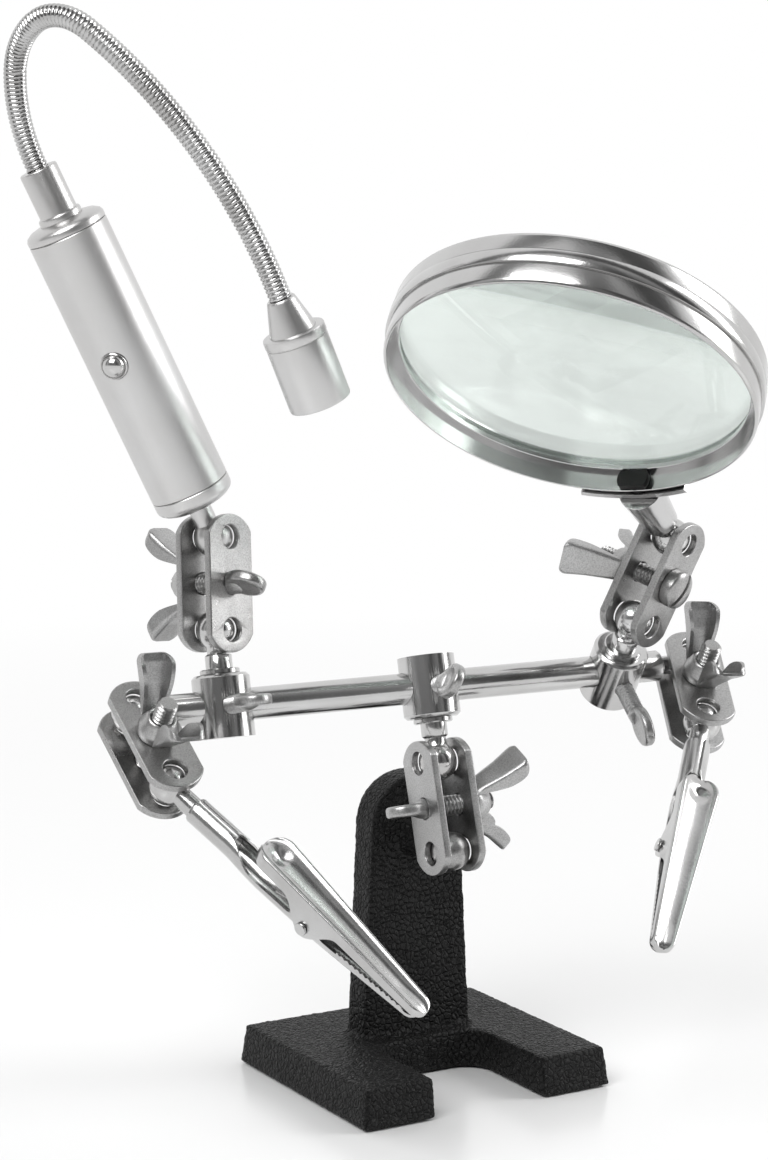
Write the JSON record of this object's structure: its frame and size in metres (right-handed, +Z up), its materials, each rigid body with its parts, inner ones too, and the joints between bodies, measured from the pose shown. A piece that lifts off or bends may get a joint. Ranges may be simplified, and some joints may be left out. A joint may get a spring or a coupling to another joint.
{
  "type": "helping hands clamp",
  "caption": "Weighted base with a cross rod on ball clamps, carrying spring clips, a round magnifier and a gooseneck light for holding small work.",
  "frame": {"origin": "centre of the foot, on its underside", "axes": "+Z up, -Y is the front with the foot notch, -X is the side that carries the light"},
  "size_m": [0.139, 0.096, 0.2002],
  "materials": {
    "black_crackle": "textured crackle paint",
    "nickel_plate": "satin plated",
    "bright_chrome": "polished",
    "clip_plate": "polished, pressed sheet",
    "satin_aluminium": "satin turned",
    "neck_steel": "polished corrugated",
    "lens_glass": "clear, faint green",
    "led_plastic": "clear moulded",
    "dark_plastic": "moulded",
    "black_oxide": "black oxide",
    "cell_steel": "satin"
  },
  "bodies": {
    "base": {"base_casting": "black_crackle"},
    "centre_clamp": {"centre_plate_left": "nickel_plate", "centre_plate_right": "nickel_plate", "centre_clamp_screw": "nickel_plate"},
    "centre_wing": {"centre_wing_nut": "nickel_plate"},
    "centre_block": {"centre_block": "bright_chrome", "centre_stud": "bright_chrome"},
    "centre_thumb": {"centre_thumb_screw": "nickel_plate"},
    "rod": {"cross_rod": "bright_chrome"},
    "left_block": {"left_block": "bright_chrome", "left_stud": "bright_chrome"},
    "left_thumb": {"left_thumb_screw": "nickel_plate"},
    "right_block": {"right_block": "bright_chrome", "right_stud": "bright_chrome"},
    "right_thumb": {"right_thumb_screw": "nickel_plate"},
    "light_clamp": {"light_plate_front": "nickel_plate", "light_plate_rear": "nickel_plate", "light_clamp_screw": "nickel_plate"},
    "light_wing": {"light_wing_nut": "nickel_plate"},
    "light_tail": {"light_tail_cap": "satin_aluminium"},
    "light_body": {"light_tube": "satin_aluminium", "light_collar": "satin_aluminium", "light_switch": "dark_plastic", "light_cells": "cell_steel", "gooseneck_1": "neck_steel"},
    "light_button": {"light_button": "bright_chrome"},
    "neck_2": {"gooseneck_2": "neck_steel"},
    "neck_3": {"gooseneck_3": "neck_steel"},
    "neck_4": {"gooseneck_4": "neck_steel"},
    "neck_5": {"gooseneck_5": "neck_steel", "lamp_head": "satin_aluminium", "lamp_led": "led_plastic"},
    "lens_clamp": {"lens_plate_right": "nickel_plate", "lens_plate_left": "nickel_plate", "lens_clamp_screw": "nickel_plate"},
    "lens_wing": {"lens_wing_nut": "nickel_plate"},
    "magnifier": {"magnifier_ring": "bright_chrome", "magnifier_retainer": "bright_chrome", "magnifier_lens": "lens_glass", "magnifier_saddle": "bright_chrome", "magnifier_post": "bright_chrome", "magnifier_screw": "black_oxide"},
    "left_end_clamp": {"left_end_plate_upper": "nickel_plate", "left_end_plate_lower": "nickel_plate", "left_end_screw": "nickel_plate"},
    "left_end_wing": {"left_end_wing_nut": "nickel_plate"},
    "left_clip": {"left_clip_stud": "clip_plate", "left_clip_jaw": "clip_plate", "left_clip_pin": "clip_plate", "left_clip_spring": "clip_plate"},
    "left_lever": {"left_clip_lever": "clip_plate"},
    "right_end_clamp": {"right_end_plate_upper": "nickel_plate", "right_end_plate_lower": "nickel_plate", "right_end_screw": "nickel_plate"},
    "right_end_wing": {"right_end_wing_nut": "nickel_plate"},
    "right_clip": {"right_clip_stud": "clip_plate", "right_clip_jaw": "clip_plate", "right_clip_pin": "clip_plate", "right_clip_spring": "clip_plate"},
    "right_lever": {"right_clip_lever": "clip_plate"}
  },
  "joints": [
    {"name": "centre_clamp_tilt", "type": "hinge", "parent": "base", "child": "centre_clamp", "pos_m": [0, -0.0106, 0.046], "axis": [-1, 0, 0], "range_deg": [-30, 8]},
    {"name": "centre_wing_turn", "type": "hinge", "parent": "centre_clamp", "child": "centre_wing", "pos_m": [0, -0.00826, 0.05417], "axis": [-1, 0, 0], "range_deg": [-45, 45]},
    {"name": "centre_block_turn", "type": "hinge", "parent": "centre_clamp", "child": "centre_block", "pos_m": [0, -0.00591, 0.06234], "axis": [-0.0193, -0.2586, -0.9658], "range_deg": [-20, 20]},
    {"name": "centre_thumb_turn", "type": "hinge", "parent": "centre_block", "child": "centre_thumb", "pos_m": [0.00027, -0.00227, 0.07596], "axis": [-0.1389, -0.9559, 0.2588], "range_deg": [-90, 90]},
    {"name": "rod_slide", "type": "slide", "parent": "centre_block", "child": "rod", "axis": [0.9901, -0.1392, 0.0175], "range_m": [-0.012, 0.012]},
    {"name": "left_block_turn", "type": "hinge", "parent": "rod", "child": "left_block", "pos_m": [-0.04032, 0.00344, 0.07524], "axis": [0.9901, -0.1392, 0.0175], "range_deg": [-30, 30]},
    {"name": "left_thumb_turn", "type": "hinge", "parent": "left_block", "child": "left_thumb", "pos_m": [-0.04032, 0.00344, 0.07524], "axis": [-0.1395, -0.9643, 0.2249], "range_deg": [-90, 90]},
    {"name": "right_block_turn", "type": "hinge", "parent": "rod", "child": "right_block", "pos_m": [0.03889, -0.00769, 0.07664], "axis": [0.9901, -0.1392, 0.0175], "range_deg": [-25, 25]},
    {"name": "right_thumb_turn", "type": "hinge", "parent": "right_block", "child": "right_thumb", "pos_m": [0.03889, -0.00769, 0.07664], "axis": [-0.1007, -0.7923, -0.6017], "range_deg": [-90, 90]},
    {"name": "light_clamp_tilt", "type": "hinge", "parent": "left_block", "child": "light_clamp", "pos_m": [-0.04012, 0.00661, 0.08898], "axis": [0.3073, -0.9458, 0.1045], "range_deg": [-14, 40]},
    {"name": "light_wing_turn", "type": "hinge", "parent": "light_clamp", "child": "light_wing", "pos_m": [-0.03969, 0.00768, 0.0974], "axis": [0.3073, -0.9458, 0.1045], "range_deg": [-45, 45]},
    {"name": "light_tilt", "type": "hinge", "parent": "light_clamp", "child": "light_tail", "pos_m": [-0.03926, 0.00875, 0.10582], "axis": [0.3073, -0.9458, 0.1045], "range_deg": [-20, 35]},
    {"name": "light_turn", "type": "hinge", "parent": "light_tail", "child": "light_body", "pos_m": [-0.03926, 0.00875, 0.10582], "axis": [-0.4234, 0.0637, 0.9037], "range_deg": [-90, 18]},
    {"name": "neck_bend_2", "type": "hinge", "parent": "light_body", "child": "neck_2", "pos_m": [-0.07619, 0.00943, 0.18937], "axis": [0.8534, 0.3627, 0.3743], "range_deg": [-10, 3]},
    {"name": "neck_bend_3", "type": "hinge", "parent": "neck_2", "child": "neck_3", "pos_m": [-0.07603, 0.00111, 0.19708], "axis": [0.8534, 0.3627, 0.3743], "range_deg": [-10, 3]},
    {"name": "neck_bend_4", "type": "hinge", "parent": "neck_3", "child": "neck_4", "pos_m": [-0.07089, -0.00959, 0.19572], "axis": [0.8534, 0.3627, 0.3743], "range_deg": [-10, 3]},
    {"name": "neck_bend_5", "type": "hinge", "parent": "neck_4", "child": "neck_5", "pos_m": [-0.05663, -0.02239, 0.1756], "axis": [0.8534, 0.3627, 0.3743], "range_deg": [-10, 3]},
    {"name": "light_button_press", "type": "slide", "parent": "light_body", "child": "light_button", "axis": [0.6484, 0.718, 0.2532], "range_m": [0, 0.001], "stiffness_N_per_m": 600, "springref_m": -0.0005},
    {"name": "lens_clamp_tilt", "type": "hinge", "parent": "right_block", "child": "lens_clamp", "pos_m": [0.03751, -0.01607, 0.0879], "axis": [0.3113, -0.9042, -0.2924], "range_deg": [-8, 8]},
    {"name": "lens_wing_turn", "type": "hinge", "parent": "lens_clamp", "child": "lens_wing", "pos_m": [0.04077, -0.01745, 0.09563], "axis": [0.3113, -0.9042, -0.2924], "range_deg": [-45, 45]},
    {"name": "magnifier_tilt", "type": "hinge", "parent": "lens_clamp", "child": "magnifier", "pos_m": [0.04402, -0.01883, 0.10336], "axis": [-0.3113, 0.9042, 0.2924], "range_deg": [-30, 30]},
    {"name": "left_end_clamp_tilt", "type": "hinge", "parent": "rod", "child": "left_end_clamp", "pos_m": [-0.05765, 0.00587, 0.07494], "axis": [0, -0.6293, 0.7771], "range_deg": [-30, 12]},
    {"name": "left_end_wing_turn", "type": "hinge", "parent": "left_end_clamp", "child": "left_end_wing", "pos_m": [-0.0572, -0.00072, 0.0696], "axis": [0, -0.6293, 0.7771], "range_deg": [-45, 45]},
    {"name": "left_clip_tilt", "type": "hinge", "parent": "left_end_clamp", "child": "left_clip", "pos_m": [-0.05676, -0.00732, 0.06425], "axis": [0, 0.6293, -0.7771], "range_deg": [-35, 35]},
    {"name": "left_lever_squeeze", "type": "hinge", "parent": "left_clip", "child": "left_lever", "pos_m": [-0.04232, -0.03475, 0.04405], "axis": [-0.9193, -0.281, -0.2756], "range_deg": [0, 15], "stiffness_Nm_per_rad": 0.25, "springref_deg": -11.46},
    {"name": "right_end_clamp_tilt", "type": "hinge", "parent": "rod", "child": "right_end_clamp", "pos_m": [0.05473, -0.00992, 0.07692], "axis": [-0.0778, -0.5538, 0.829], "range_deg": [-5, 30]},
    {"name": "right_end_wing_turn", "type": "hinge", "parent": "right_end_clamp", "child": "right_end_wing", "pos_m": [0.05174, -0.0164, 0.07231], "axis": [-0.0778, -0.5538, 0.829], "range_deg": [-45, 20]},
    {"name": "right_clip_tilt", "type": "hinge", "parent": "right_end_clamp", "child": "right_clip", "pos_m": [0.04875, -0.02289, 0.0677], "axis": [-0.0778, -0.5538, 0.829], "range_deg": [-25, 35]},
    {"name": "right_lever_squeeze", "type": "hinge", "parent": "right_clip", "child": "right_lever", "pos_m": [0.02627, -0.04606, 0.04962], "axis": [-0.7927, 0.4394, 0.4226], "range_deg": [0, 15], "stiffness_Nm_per_rad": 0.25, "springref_deg": -11.46}
  ],
  "couplings": [
    {"joint": "neck_bend_3", "follows": "neck_bend_2", "ratio": 1},
    {"joint": "neck_bend_4", "follows": "neck_bend_2", "ratio": 1},
    {"joint": "neck_bend_5", "follows": "neck_bend_2", "ratio": 1}
  ]
}
